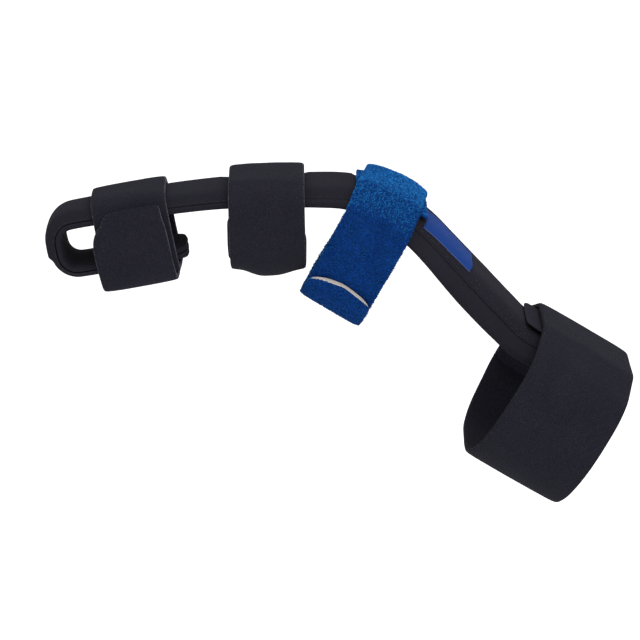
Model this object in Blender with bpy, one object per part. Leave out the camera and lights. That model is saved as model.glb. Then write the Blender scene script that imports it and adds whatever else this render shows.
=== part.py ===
"""Finger orthosis: a padded splint that runs from the wrist over the back of the hand and along a finger,
loops round the fingertip and ends in a short arm under the finger. Four wrapped straps hold it on.

Units are metres. +X points from the fingertip to the elbow, +Z away from the back of the finger, and +Y to
the little finger side. The origin is the spot under the padding where the splint sits on the hand.
"""

import bisect
import math
from collections import namedtuple

import bpy
import bmesh
from mathutils import Vector

# Clearance that pieces keep where they touch.
GAP = 0.0003

# Splint: lengths along it, from the short arm under the finger to the wrist end.
FINGER_ROOM = 0.0125
PALMAR_ARM_LENGTH = 0.0355
FINGERTIP_FRONT = 0.0040
FINGER_LENGTH = 0.0854
KNUCKLE_LENGTH = 0.0400
HAND_LENGTH = 0.0390
WRIST_BEND_LENGTH = 0.0060
WRIST_LENGTH = 0.0306

# Splint: how far it turns, in degrees, and how steeply its fingertip arm climbs.
FINGERTIP_CLIMB = 10.3
FINGER_ARCH = 10.3
KNUCKLE_BEND = 47.2
WRIST_BEND = 16.0

# Splint: its section.
TIP_WIDTH = 0.0195
HAND_WIDTH = 0.0290
SLEEVE_THICKNESS = 0.0022
SLEEVE_CROWN = 0.0003
PAD_THICKNESS = 0.0023
HAND_PAD_THICKNESS = 0.0036
WING_LENGTH = 0.0052
WING_SLOPE = 50.0
SPLINT_END_RADIUS = 0.0070

# Straps and the patches and label that are sewn on the splint.
FINGER_STRAP_WIDTH = 0.0250
FINGER_STRAP_THICKNESS = 0.0030
KNUCKLE_STRAP_WIDTH = 0.0225
KNUCKLE_STRAP_THICKNESS = 0.0022
WRIST_STRAP_WIDTH = 0.0350
WRIST_STRAP_THICKNESS = 0.0026
STRAP_CLIMB_LENGTH = 0.0070
KNUCKLE_PATCH_THICKNESS = 0.0013
WRIST_PATCH_THICKNESS = 0.0008
KNUCKLE_PATCH_LENGTH = 0.0238
KNUCKLE_PATCH_SHIFT = -0.0003
WRIST_PATCH_LENGTH = 0.0280
PATCH_MARGIN = 0.0010
LABEL_LENGTH = 0.0216
LABEL_WIDTH = 0.0180
LABEL_THICKNESS = 0.0006
LABEL_SIDE_SHIFT = -0.0052

# The finger and wrist that the straps close around, below the padding.
MIDDLE_DEPTH = 0.0168
MIDDLE_BREADTH = 0.0190
MIDDLE_BULGE = 0.0033
KNUCKLE_DEPTH = 0.0348
KNUCKLE_BREADTH = 0.0230
KNUCKLE_FLARE = 0.20
WRIST_DEPTH = 0.0392
WRIST_BREADTH = 0.0610
WRIST_RADIUS = 0.0220
WRIST_SHOULDER_DEPTH = 0.0094
WRIST_SHOULDER_RADIUS = 0.0140

# Facets.
LOOP_STEP = 15
OUTLINE_STEP = 5
SHOULDER_ANGLE = 75
FACET_SAG = 0.00012
FACET_LENGTH = 0.0080
EDGE_BEVEL = 0.0007

TIP_TURN_RADIUS = (FINGER_ROOM - FINGERTIP_FRONT) / 2 + PAD_THICKNESS
Stretch = namedtuple("Stretch", "name length turn")
SPLINT_LINE = (
    Stretch("palmar arm", PALMAR_ARM_LENGTH, 0.0),
    Stretch("tip turn under", math.pi / 2 * TIP_TURN_RADIUS, -90.0),
    Stretch("tip front", FINGERTIP_FRONT, 0.0),
    Stretch("tip turn over", math.pi / 2 * TIP_TURN_RADIUS, -90.0),
    Stretch("fingertip", 0.28 * FINGER_LENGTH, -0.08 * FINGER_ARCH),
    Stretch("middle", 0.40 * FINGER_LENGTH, -0.47 * FINGER_ARCH),
    Stretch("base", 0.32 * FINGER_LENGTH, -0.45 * FINGER_ARCH),
    Stretch("knuckle", KNUCKLE_LENGTH, -KNUCKLE_BEND),
    Stretch("hand", HAND_LENGTH, 0.0),
    Stretch("wrist bend", WRIST_BEND_LENGTH, WRIST_BEND),
    Stretch("wrist", WRIST_LENGTH, 0.0),
)

# How the splint's section grows from the fingertip to the wrist, as shares: width from the tip's to the
# hand's, wings from none to full, padding from the finger's thickness to the hand's.
Growth = namedtuple("Growth", "stretch along width wing pad")
SPLINT_GROWTH = (
    Growth("palmar arm", 0.0, 0.00, 0.00, 0.00),
    Growth("fingertip", 0.0, 0.06, 0.00, 0.00),
    Growth("middle", 0.5, 0.32, 0.00, 0.00),
    Growth("base", 1.0, 0.62, 0.26, 0.45),
    Growth("knuckle", 1.0, 0.96, 0.86, 0.90),
    Growth("hand", 0.5, 1.00, 1.00, 1.00),
    Growth("wrist", 0.0, 0.98, 0.92, 1.00),
    Growth("wrist", 1.0, 0.86, 0.60, 0.80),
)

# How far the finger's underside bulges across the middle strap, as shares of its half width and bulge.
Bulge = namedtuple("Bulge", "across depth")
MIDDLE_BULGES = (
    Bulge(-1.00, 0.00),
    Bulge(-0.72, 0.06),
    Bulge(-0.10, 1.00),
    Bulge(0.30, 0.98),
    Bulge(1.00, 0.30),
)

# Where each strap sits on the splint and how it is wrapped. tilt and yaw turn its ring from square to the
# splint, about the ring's breadth and about its height, in degrees. start and end are in turns from the
# top, where plus goes down the thumb side first. drift shifts it to the elbow with each turn, and sweep at
# its bottom. Its end narrows by a share of its half width, the corner, over the length of its bow, and
# lean gives the fingertip side the larger share of it: 0 shares it evenly, 1 keeps the other side straight.
Wrap = namedtuple("Wrap", "name stretch along tilt yaw start end drift sweep corner bow lean columns")
STRAP_WRAPS = (
    Wrap("fingertip_strap", "fingertip", 0.86, 0.5, 0.0, 0.646, -0.844, -0.0014, 0.0000, 0.36, 0.0085, 0.75, 3),
    Wrap("middle_strap", "base", 0.225, -3.0, 0.0, 0.207, 1.652, 0.0007, 0.0000, 0.40, 0.0050, 0.0, 9),
    Wrap("knuckle_strap", "knuckle", 0.515, 4.0, -7.3, 0.69, -0.622, -0.0004, -0.0054, 0.90, 0.0030, 0.0, 5),
    Wrap("wrist_strap", "wrist", 0.61, 0.5, 0.0, -0.272, 0.830, 0.0006, 0.0000, 0.30, 0.0050, 0.0, 3),
)

Circle = namedtuple("Circle", "y n r")
Spot = namedtuple("Spot", "length point normal")
Frame = namedtuple("Frame", "point tangent normal")

BLACK_FOAM = ("black_foam", (0.020, 0.019, 0.028), 0.90)
BLACK_LAMINATE = ("black_laminate", (0.024, 0.023, 0.030), 0.85)
BLACK_VELOUR = ("black_velour", (0.022, 0.021, 0.029), 0.95)
BLUE_VELOUR = ("blue_velour", (0.009, 0.055, 0.200), 0.95)
BLUE_LABEL = ("blue_label", (0.038, 0.098, 0.323), 0.60)


def stretch_start(name):
    """Distance along the splint at which a stretch starts, and the stretch."""
    distance = 0.0
    for stretch in SPLINT_LINE:
        if stretch.name == name:
            return distance, stretch
        distance += stretch.length
    raise KeyError(name)


def distance_of(name, along):
    """Distance along the splint of a place given as a share of a stretch."""
    start, stretch = stretch_start(name)
    return start + along * stretch.length


def splint_length():
    return sum(stretch.length for stretch in SPLINT_LINE)


def direction(heading):
    return Vector((math.cos(heading), 0.0, math.sin(heading)))


def line_frame(distance):
    """Frame of the line between sleeve and pad, before the origin is moved to the hand."""
    point = Vector((0.0, 0.0, 0.0))
    heading = math.radians(180.0 + FINGERTIP_CLIMB)
    left = min(max(distance, 0.0), splint_length())
    for stretch in SPLINT_LINE:
        step = min(left, stretch.length)
        turn = math.radians(stretch.turn) * step / stretch.length
        chord = step if abs(turn) < 1e-9 else step * math.sin(turn / 2) / (turn / 2)
        point += chord * direction(heading + turn / 2)
        heading += turn
        left -= step
        if left <= 0.0:
            break
    tangent = direction(heading)
    return Frame(point, tangent, Vector((-tangent.z, 0.0, tangent.x)))


def smooth(share):
    share = min(max(share, 0.0), 1.0)
    return share * share * (3 - 2 * share)


def interpolate(rows, place, at, columns):
    """Values of the named columns between the two rows around a place."""
    places = [place(row) for row in rows]
    after = next((i for i, p in enumerate(places) if p > at), len(rows) - 1)
    before = max(after - 1, 0)
    span = places[after] - places[before]
    share = smooth((at - places[before]) / span) if span > 0 else 0.0
    return [
        getattr(rows[before], c) + share * (getattr(rows[after], c) - getattr(rows[before], c))
        for c in columns
    ]


def growth(distance):
    """Half width, wing share and padding thickness of the splint at a distance."""
    width, wing, pad = interpolate(
        SPLINT_GROWTH, lambda row: distance_of(row.stretch, row.along), distance, ("width", "wing", "pad")
    )
    half_width = (TIP_WIDTH + width * (HAND_WIDTH - TIP_WIDTH)) / 2
    thickness = PAD_THICKNESS + pad * (HAND_PAD_THICKNESS - PAD_THICKNESS)
    return half_width, wing, thickness


def seat_offset():
    """Place of the hand seat, which becomes the origin."""
    distance = distance_of("hand", 0.5)
    frame = line_frame(distance)
    return frame.point - growth(distance)[2] * frame.normal


SEAT = seat_offset()


def splint_frame(distance):
    frame = line_frame(distance)
    return Frame(frame.point - SEAT, frame.tangent, frame.normal)


def end_narrowing(distance):
    """Share of the width left near the splint's two rounded ends."""
    near = min(distance, splint_length() - distance)
    if near >= SPLINT_END_RADIUS:
        return 1.0
    rise = 1 - max(near, 0.0) / SPLINT_END_RADIUS
    return 0.45 + 0.55 * math.sqrt(max(0.0, 1 - rise * rise))


def sleeve_section(distance):
    """Half outline of the sleeve, from its middle on the pad round its edge to its crown."""
    half = growth(distance)[0]
    low = GAP
    high = GAP + SLEEVE_THICKNESS
    return [
        (half - EDGE_BEVEL, low),
        (half, low + EDGE_BEVEL),
        (half, high - 1.4 * EDGE_BEVEL),
        (half - 1.6 * EDGE_BEVEL, high - 0.2 * EDGE_BEVEL),
        (0.55 * half, high + 0.7 * SLEEVE_CROWN),
    ]


def wing_line(distance):
    """Middle line of the padding from its flat part to the wing's tip, as (y, n, slope) rows."""
    half, wing, thickness = growth(distance)
    bend = math.radians(WING_SLOPE) * wing
    bend_length = 0.6 * thickness
    length = max(wing, 0.06) * WING_LENGTH
    y, n, slope = half - thickness / 2, -thickness / 2, 0.0
    rows = [(y, n, slope)]
    for _ in range(2):
        slope += bend / 2
        y += bend_length / 2 * math.cos(slope - bend / 4)
        n -= bend_length / 2 * math.sin(slope - bend / 4)
        rows.append((y, n, slope))
    y += length * math.cos(slope)
    n -= length * math.sin(slope)
    rows.append((y, n, slope))
    return rows, thickness


def pad_section(distance):
    """Half outline of the padding, from the top of its flat part round the wing to the underside."""
    rows, thickness = wing_line(distance)
    half = thickness / 2
    upper = [(y + half * math.sin(s), n + half * math.cos(s)) for y, n, s in rows]
    lower = [(y - half * math.sin(s), n - half * math.cos(s)) for y, n, s in reversed(rows)]
    y, n, slope = rows[-1]
    tip = []
    for turn in (45, 90, 135):
        angle = slope + math.radians(turn)
        tip.append((y + half * math.sin(angle), n + half * math.cos(angle)))
    return upper + tip + lower


def mirrored_ring(half_outline, frame, narrowing):
    """Closed ring of points from a half outline and its mirror image across the splint's middle."""
    points = [(y, n) for y, n in half_outline]
    points += [(-y, n) for y, n in reversed(half_outline)]
    return [frame.point + Vector((0.0, y * narrowing, 0.0)) + n * frame.normal for y, n in points]


def splint_stations():
    """Distances at which the splint has a section: closer where it bends or its ends round off."""
    total = splint_length()
    corner = [SPLINT_END_RADIUS * (1 - math.cos(math.radians(a))) for a in (0, 35, 60, 90)]
    stations = set(corner) | {total - c for c in corner}
    for stretch in SPLINT_LINE:
        start = stretch_start(stretch.name)[0]
        turns = abs(stretch.turn) / (LOOP_STEP if stretch.name.startswith("tip turn") else 5.0)
        pieces = max(1, math.ceil(turns), math.ceil(stretch.length / 0.012))
        stations |= {start + stretch.length * i / pieces for i in range(pieces + 1)}
    kept = []
    for station in sorted(stations):
        if not kept or station - kept[-1] > 0.0006:
            kept.append(station)
    return kept


def material(name, colour, roughness):
    found = bpy.data.materials.get(name)
    if found:
        return found
    made = bpy.data.materials.new(name)
    made.use_nodes = True
    shader = made.node_tree.nodes["Principled BSDF"]
    shader.inputs["Base Color"].default_value = (*colour, 1.0)
    shader.inputs["Roughness"].default_value = roughness
    shader.inputs["Metallic"].default_value = 0.0
    return made


def loft(name, rings, finish):
    """One closed solid through rings of points, with a flat face over each end."""
    shape = bmesh.new()
    loops = [[shape.verts.new(point) for point in ring] for ring in rings]
    for lower, upper in zip(loops, loops[1:]):
        for i in range(len(lower)):
            j = (i + 1) % len(lower)
            shape.faces.new((lower[i], lower[j], upper[j], upper[i]))
    shape.faces.new(loops[0])
    shape.faces.new(loops[-1])
    bmesh.ops.recalc_face_normals(shape, faces=shape.faces)
    mesh = bpy.data.meshes.new(name)
    shape.to_mesh(mesh)
    shape.free()
    mesh.shade_smooth()
    mesh.set_sharp_from_angle(angle=math.radians(40))
    solid = bpy.data.objects.new(name, mesh)
    bpy.context.scene.collection.objects.link(solid)
    solid.data.materials.append(material(*finish))
    return solid


def build_splint():
    """The padding against the hand and, on its back, the sleeve that holds the stay."""
    pieces = (("splint_pad", pad_section, BLACK_FOAM), ("stay_sleeve", sleeve_section, BLACK_LAMINATE))
    for name, section, finish in pieces:
        rings = [
            mirrored_ring(section(d), splint_frame(d), end_narrowing(d)) for d in splint_stations()
        ]
        loft(name, rings, finish)


def build_ribbon(name, start, length, width, thickness, shift, finish):
    """A flat patch sewn on the sleeve's back, following its bends."""
    pieces = max(2, math.ceil(length / 0.004))
    corner = 0.3 * thickness
    rings = []
    for i in range(pieces + 1):
        distance = start + length * i / pieces
        frame = splint_frame(distance)
        narrower = growth(distance)[0] - PATCH_MARGIN
        half = min(width / 2, narrower)
        low = GAP + SLEEVE_THICKNESS + SLEEVE_CROWN + GAP
        inset = corner if i in (0, pieces) else 0.0
        outline = [
            (half - corner, low),
            (half, low + corner),
            (half, low + thickness - corner),
            (half - corner, low + thickness - inset),
        ]
        ring = mirrored_ring(outline, frame, 1.0)
        rings.append([point + Vector((0.0, shift, 0.0)) for point in ring])
    loft(name, rings, finish)


def wrap_frame(wrap):
    """Frame of a strap's ring. Its tangent is the ring's axis and its normal points to the ring's top."""
    frame = splint_frame(distance_of(wrap.stretch, wrap.along))
    tilt = math.radians(wrap.tilt)
    axis = math.cos(tilt) * frame.tangent + math.sin(tilt) * frame.normal
    return Frame(frame.point, axis, Vector((-axis.z, 0.0, axis.x)))


def splint_under(ring, x, ends, n=0.0):
    """Distance along the splint at which it passes the plane at x on a ring's axis, n above its line."""
    low, high = ends

    def ahead(distance):
        frame = splint_frame(distance)
        return (frame.point + n * frame.normal - ring.point).dot(ring.tangent) - x

    rising = ahead(high) > ahead(low)
    for _ in range(22):
        middle = (low + high) / 2
        if (ahead(middle) > 0) == rising:
            high = middle
        else:
            low = middle
    return (low + high) / 2


def splint_circles(ring, x, ends, raised):
    """Circles at the corners of the splint's section and at its wing tips, in a ring's plane."""
    corner = 2 * EDGE_BEVEL
    top = GAP + SLEEVE_THICKNESS + SLEEVE_CROWN + raised
    distance = splint_under(ring, x, ends, top)
    frame = splint_frame(distance)
    height = (frame.point + (top - corner) * frame.normal - ring.point).dot(ring.normal)
    width = growth(distance)[0] - corner
    found = [Circle(side * width, height, corner) for side in (-1, 1)]

    wing_n = wing_line(distance)[0][-1][1]
    distance = splint_under(ring, x, ends, wing_n)
    frame = splint_frame(distance)
    rows, thickness = wing_line(distance)
    wing_y, wing_n, _ = rows[-1]
    height = (frame.point + wing_n * frame.normal - ring.point).dot(ring.normal)
    return found + [Circle(side * wing_y, height, thickness / 2) for side in (-1, 1)]


def limb_circles(ring, distance, breadth, centre_depth, radius):
    """Two circles of the finger or wrist that lies under the padding."""
    frame = splint_frame(distance)
    top = (frame.point - growth(distance)[2] * frame.normal - ring.point).dot(ring.normal)
    apart = max(breadth / 2 - radius, 0.0)
    return [Circle(side * apart, top - centre_depth, radius) for side in (-1, 1)]


def finger_circles(ring, distance, depth, breadth):
    radius = min(depth, breadth) / 2
    return limb_circles(ring, distance, breadth, depth - radius, radius)


def fingertip_circles(ring, x):
    dorsal = distance_of("fingertip", 0.0), distance_of("middle", 1.0)
    palmar = 0.0, distance_of("tip turn under", 0.0)
    return splint_circles(ring, x, dorsal, 0.0) + splint_circles(ring, x, palmar, 0.0)


def middle_circles(ring, x):
    ends = distance_of("fingertip", 0.0), distance_of("base", 1.0)
    share = interpolate(MIDDLE_BULGES, lambda row: row.across, 2 * x / FINGER_STRAP_WIDTH, ("depth",))[0]
    depth = MIDDLE_DEPTH + share * MIDDLE_BULGE
    finger = finger_circles(ring, splint_under(ring, x, ends), depth, MIDDLE_BREADTH)
    return splint_circles(ring, x, ends, 0.0) + finger


def knuckle_circles(ring, x):
    ends = distance_of("base", 0.2), distance_of("hand", 0.6)
    depth = KNUCKLE_DEPTH + KNUCKLE_FLARE * x
    finger = finger_circles(ring, splint_under(ring, 0.0, ends), depth, KNUCKLE_BREADTH)
    return splint_circles(ring, x, ends, KNUCKLE_PATCH_THICKNESS + GAP) + finger


def wrist_circles(ring, x):
    ends = distance_of("hand", 0.5), distance_of("wrist", 1.0)
    under = splint_under(ring, x, ends)
    below = limb_circles(ring, under, WRIST_BREADTH, WRIST_DEPTH - WRIST_RADIUS, WRIST_RADIUS)
    beside = limb_circles(ring, under, WRIST_BREADTH, WRIST_SHOULDER_DEPTH, WRIST_SHOULDER_RADIUS)
    return splint_circles(ring, x, ends, WRIST_PATCH_THICKNESS + GAP) + below + beside


def taut_outline(circles):
    """Taut outline round the circles, from its top's middle down the thumb side and round."""
    top = max(c.n + c.r for c in circles)
    rows = [(Vector((0.0, top)), Vector((0.0, 1.0)))]
    for i in range(round(360 / OUTLINE_STEP) + 1):
        angle = min(max(math.radians(OUTLINE_STEP * i), 1e-6), math.tau - 1e-6)
        normal = Vector((-math.sin(angle), math.cos(angle)))
        touched = max(circles, key=lambda c: c.y * normal.x + c.n * normal.y + c.r)
        rows.append((Vector((touched.y, touched.n)) + touched.r * normal, normal))
    rows.append(rows[0])
    length = 0.0
    outline = []
    for i, (point, normal) in enumerate(rows):
        length += (point - rows[i - 1][0]).length if i else 0.0
        outline.append(Spot(length, point, normal))
    return outline


def shoulder_length(outline):
    """Length of a taut outline from its top's middle to the end of its first rounded corner."""
    return outline[1 + round(SHOULDER_ANGLE / OUTLINE_STEP)].length


def facet_turns(outline):
    """Turns at which an outline is cut into facets that stay close to it."""
    total = outline[-1].length
    kept = [0]
    for i in range(2, len(outline)):
        start, end = outline[kept[-1]], outline[i]
        chord = end.point - start.point
        if chord.length < 1e-6:
            continue
        across = Vector((-chord.y, chord.x)).normalized()
        sag = max(abs((outline[k].point - start.point).dot(across)) for k in range(kept[-1] + 1, i))
        if sag > FACET_SAG or chord.length > FACET_LENGTH:
            kept.append(i - 1)
    return [outline[i].length / total for i in kept]


def strap_spot(outline, shoulder, turn):
    """Point and normal of a taut outline at a turn. shoulder is the turn that its first corner takes."""
    share = turn - math.floor(turn)
    total = outline[-1].length
    corner = shoulder_length(outline)
    if share < shoulder:
        length = share / shoulder * corner
    elif share > 1 - shoulder:
        length = total - (1 - share) / shoulder * corner
    else:
        length = corner + (share - shoulder) / (1 - 2 * shoulder) * (total - 2 * corner)
    i = min(bisect.bisect_right(outline, length, key=lambda spot: spot.length), len(outline) - 1)
    low, high = outline[i - 1], outline[i]
    span = high.length - low.length
    part = (length - low.length) / span if span > 1e-9 else 0.0
    return low.point.lerp(high.point, part), low.normal.lerp(high.normal, part).normalized()


def strap_turns(wrap, facets, perimeter):
    """Turns at which a strap has a section: facet corners, its climb, and its two rounded ends."""
    low, high = min(wrap.start, wrap.end), max(wrap.start, wrap.end)
    turns = {wrap.start, wrap.end}
    for whole in range(math.floor(low), math.ceil(high)):
        turns |= {whole + facet for facet in facets if low < whole + facet < high}
    way = 1 if wrap.end > wrap.start else -1
    for share in (0.0, 0.5, 1.0):
        turns.add(wrap.start + way * (1 - (1 - share) * STRAP_CLIMB_LENGTH / perimeter))
    for angle in (20, 34, 48, 62, 76, 90):
        inwards = wrap.bow * (1 - math.cos(math.radians(angle))) / perimeter
        turns |= {low + inwards, high - inwards}
    kept = []
    for turn in sorted((t for t in turns if low <= t <= high), reverse=way < 0):
        if not kept or abs(turn - kept[-1]) * perimeter > 0.0002:
            kept.append(turn)
    kept[-1] = wrap.end
    return kept


def narrowed(from_end, bow, corner):
    """Share of its half width that a strap loses at a distance from its end."""
    if from_end >= bow:
        return 0.0
    rise = 1 - max(from_end, 0.0) / bow
    return corner * (1 - math.sqrt(max(0.0, 1 - rise * rise)))


def build_strap(wrap, circles_at, width, thickness, finish):
    """A strap wrapped a turn and more round the splint and what lies under it, over its own start."""
    ring = wrap_frame(wrap)
    centre = taut_outline(circles_at(ring, 0.0))
    perimeter = centre[-1].length
    shoulder = shoulder_length(centre) / perimeter
    outlines = {}
    way = 1 if wrap.end > wrap.start else -1
    rings = []
    for turn in strap_turns(wrap, facet_turns(centre), perimeter):
        wound = (turn - wrap.start) * way
        climb = smooth((wound - 1) * perimeter / STRAP_CLIMB_LENGTH + 1)
        offset = GAP + climb * (thickness + GAP)
        from_end = perimeter * min(wound, abs(wrap.end - turn))
        lost = width / 2 * narrowed(from_end, wrap.bow, wrap.corner)
        half = width / 2 - lost
        lowness = (1 - math.cos(2 * math.pi * turn)) / 2
        across = strap_spot(centre, shoulder, turn)[0].x
        yawed = math.tan(math.radians(wrap.yaw)) * across
        middle = wrap.drift * wound + wrap.sweep * lowness ** 3 - yawed + wrap.lean * lost
        inner, outer = [], []
        for k in range(wrap.columns):
            x = (2 * k / (wrap.columns - 1) - 1) * (half - EDGE_BEVEL)
            inner.append((x, 0.0))
            outer.append((x, thickness))
        edge = [(half, EDGE_BEVEL), (half, thickness - EDGE_BEVEL)]
        other_edge = [(-half, thickness - EDGE_BEVEL), (-half, EDGE_BEVEL)]
        points = []
        for x, depth in inner + edge + outer[::-1] + other_edge:
            x = round(x + middle, 5)
            if x not in outlines:
                outlines[x] = taut_outline(circles_at(ring, x))
            spot, normal = strap_spot(outlines[x], shoulder, turn)
            y, n = spot + (offset + depth) * normal
            points.append(ring.point + x * ring.tangent + Vector((0.0, y, 0.0)) + n * ring.normal)
        rings.append(points)
    loft(wrap.name, rings, finish)


def build_straps():
    circles = (fingertip_circles, middle_circles, knuckle_circles, wrist_circles)
    sizes = (
        (FINGER_STRAP_WIDTH, FINGER_STRAP_THICKNESS, BLACK_VELOUR),
        (FINGER_STRAP_WIDTH, FINGER_STRAP_THICKNESS, BLACK_VELOUR),
        (KNUCKLE_STRAP_WIDTH, KNUCKLE_STRAP_THICKNESS, BLUE_VELOUR),
        (WRIST_STRAP_WIDTH, WRIST_STRAP_THICKNESS, BLACK_VELOUR),
    )
    for wrap, circles_at, (width, thickness, finish) in zip(STRAP_WRAPS, circles, sizes):
        build_strap(wrap, circles_at, width, thickness, finish)


def build_patches():
    """The patches that anchor two straps on the splint, and the label between them."""
    knuckle = distance_of("knuckle", STRAP_WRAPS[2].along)
    wrist = distance_of("wrist", STRAP_WRAPS[3].along)
    patch_end = knuckle + KNUCKLE_PATCH_SHIFT + KNUCKLE_PATCH_LENGTH / 2
    build_ribbon(
        "knuckle_patch", patch_end - KNUCKLE_PATCH_LENGTH, KNUCKLE_PATCH_LENGTH,
        HAND_WIDTH, KNUCKLE_PATCH_THICKNESS, 0.0, BLUE_VELOUR,
    )
    build_ribbon(
        "wrist_patch", wrist - WRIST_PATCH_LENGTH * 0.85, WRIST_PATCH_LENGTH,
        HAND_WIDTH, WRIST_PATCH_THICKNESS, 0.0, BLACK_VELOUR,
    )
    build_ribbon(
        "woven_label", patch_end + GAP, LABEL_LENGTH,
        LABEL_WIDTH, LABEL_THICKNESS, LABEL_SIDE_SHIFT, BLUE_LABEL,
    )


def clear_scene():
    for thing in list(bpy.data.objects):
        bpy.data.objects.remove(thing, do_unlink=True)


def main():
    clear_scene()
    build_splint()
    build_patches()
    build_straps()


main()
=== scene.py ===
"""Finger orthosis, dressed: padding, sleeve, wrapped straps, pile, patches, label, stitches and stage."""

import math
from collections import namedtuple

import bmesh
import bpy
import numpy as np
from bpy.props import FloatProperty, FloatVectorProperty, IntProperty, PointerProperty
from mathutils import Matrix, Vector
from mathutils.bvhtree import BVHTree


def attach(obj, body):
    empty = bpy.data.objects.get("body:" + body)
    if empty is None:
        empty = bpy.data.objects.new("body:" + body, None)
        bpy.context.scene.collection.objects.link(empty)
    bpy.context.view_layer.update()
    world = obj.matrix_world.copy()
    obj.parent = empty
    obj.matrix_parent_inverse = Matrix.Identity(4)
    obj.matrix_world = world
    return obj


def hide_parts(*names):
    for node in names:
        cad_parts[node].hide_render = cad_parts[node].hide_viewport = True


bl_info = {
    "name": "Finger Orthosis",
    "version": (1, 0, 0),
    "blender": (4, 5, 0),
    "location": "View3D > Sidebar > Orthosis",
    "description": "Builds the dressed finger orthosis and its studio stage",
    "category": "Object",
}

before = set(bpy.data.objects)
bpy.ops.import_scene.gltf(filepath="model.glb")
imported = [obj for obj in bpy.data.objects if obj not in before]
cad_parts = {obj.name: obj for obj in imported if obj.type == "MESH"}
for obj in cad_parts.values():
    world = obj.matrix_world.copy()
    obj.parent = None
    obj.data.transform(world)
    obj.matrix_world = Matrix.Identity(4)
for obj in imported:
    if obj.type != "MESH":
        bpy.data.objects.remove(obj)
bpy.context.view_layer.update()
BODY = "root"

# The splint's line, repeated from the part's source: it runs from the arm under the finger to the wrist.
Stretch = namedtuple("Stretch", "name length turn")
FINGER_LENGTH = 0.0854
FINGERTIP_CLIMB = 10.3
FINGER_ARCH = 10.3
TIP_TURN_RADIUS = 0.00655
SPLINT_LINE = (
    Stretch("palmar arm", 0.0355, 0.0),
    Stretch("tip turn under", math.pi / 2 * TIP_TURN_RADIUS, -90.0),
    Stretch("tip front", 0.0040, 0.0),
    Stretch("tip turn over", math.pi / 2 * TIP_TURN_RADIUS, -90.0),
    Stretch("fingertip", 0.28 * FINGER_LENGTH, -0.08 * FINGER_ARCH),
    Stretch("middle", 0.40 * FINGER_LENGTH, -0.47 * FINGER_ARCH),
    Stretch("base", 0.32 * FINGER_LENGTH, -0.45 * FINGER_ARCH),
    Stretch("knuckle", 0.0400, -47.2),
    Stretch("hand", 0.0390, 0.0),
    Stretch("wrist bend", 0.0060, 16.0),
    Stretch("wrist", 0.0306, 0.0),
)
LINE_END_MARGIN = 0.000001
HAND_PAD_THICKNESS = 0.0036

# Half width of the sleeve along the splint, and how full the padding's wings are, as a share.
Breadth = namedtuple("Breadth", "stretch along half wing")
SLEEVE_BREADTHS = (
    Breadth("palmar arm", 0.0, 0.00975, 0.00),
    Breadth("fingertip", 0.0, 0.01004, 0.00),
    Breadth("middle", 0.5, 0.01127, 0.00),
    Breadth("base", 1.0, 0.01270, 0.26),
    Breadth("knuckle", 1.0, 0.01431, 0.86),
    Breadth("hand", 0.5, 0.01450, 1.00),
    Breadth("wrist", 0.0, 0.01440, 0.92),
    Breadth("wrist", 1.0, 0.01384, 0.60),
)

# Runs between the straps where the soft sleeve swells, from its first distance to its last.
Swell = namedtuple("Swell", "first last rise")
SLEEVE_SWELLS = (
    Swell(0.0440, 0.0680, 0.0010),
    Swell(0.0910, 0.1134, 0.0010),
    Swell(0.1370, 0.1540, 0.0006),
)
SWELL_SLOPE = 0.0016
SWELL_FOOT = 0.0010
SWELL_CLIMB = 0.0012

# How the sleeve's lower edges are drawn out: those between the two heights, more over the wings.
SLEEVE_EDGE_LOW = 0.0006
SLEEVE_EDGE_HIGH = 0.0016
FLARED_HEIGHT = 0.00005
FLARED_DROP = 0.0019
FLARED_REACH = 0.0010

# Axes of the straps' rings.
RING_AXES = {
    "fingertip_wrap": Vector((0.9845, 0.0, 0.1752)),
    "middle_wrap": Vector((1.0, 0.0, 0.0083)),
    "knuckle_wrap": Vector((0.9378, 0.0, -0.3471)),
    "wrist_wrap": Vector((0.8599, 0.0, -0.5105)),
}

# Each strap with its flat width and length, and the piece that it is sewn or pulled against.
Strap = namedtuple("Strap", "node piece finish slot flat under")
STRAPS = (
    Strap("fingertip_strap", "fingertip_wrap", "velour", "black_velour", (0.0250, 0.1500), "padding"),
    Strap("middle_strap", "middle_wrap", "velour", "black_velour", (0.0250, 0.1500), "padding"),
    Strap("knuckle_strap", "knuckle_wrap", "blue_ground", "blue_velour", (0.0225, 0.1830), "knuckle_tab"),
    Strap("wrist_strap", "wrist_wrap", "velour", "black_velour", (0.0350, 0.2110), "wrist_tab"),
)
CREASE_ANGLE = 35
PADDING_WAVE_SIZE = 0.009
STRAP_WAVE_SIZE = 0.012
STRAP_WAVE_STRENGTH = 0.00025
FINGERTIP_CORNER = ((-0.1300, -0.0300, 0.0160), (-0.1120, -0.0080, 0.0330))
FINGERTIP_CORNER_REPEATS = 14
MIDDLE_LIFT_FROM = 0.022
MIDDLE_LIFT = 0.0009
FLAP_CUT_SIDE = -0.0105
FLAP_CUT_LOW = -0.012
FLAP_CUT_HIGH = 0.006

# The label's turn is that of the hand stretch, in degrees.
LABEL_TURN = -42.8
LABEL_THICKNESS = 0.00032
LABEL_CLEARANCE = 0.0001
PRESS_HEIGHT = 0.010

# Loops and fibres are tried in excess, and those with cloth close over them are left out.
SPARE_LOOPS = 1.5
LOOP_AIR = 0.0012
LOOP_LEAN = 0.35
RIM_SLANTS = (0.35, 0.80)
RIDGE_RUN = (-0.010, 0.034)
RIDGE_SIDE = 0.0120
FIBRE_AIR = 0.0015
FIBRE_LEAN = 0.9
FIBRE_SIZE = 0.00030

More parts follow.
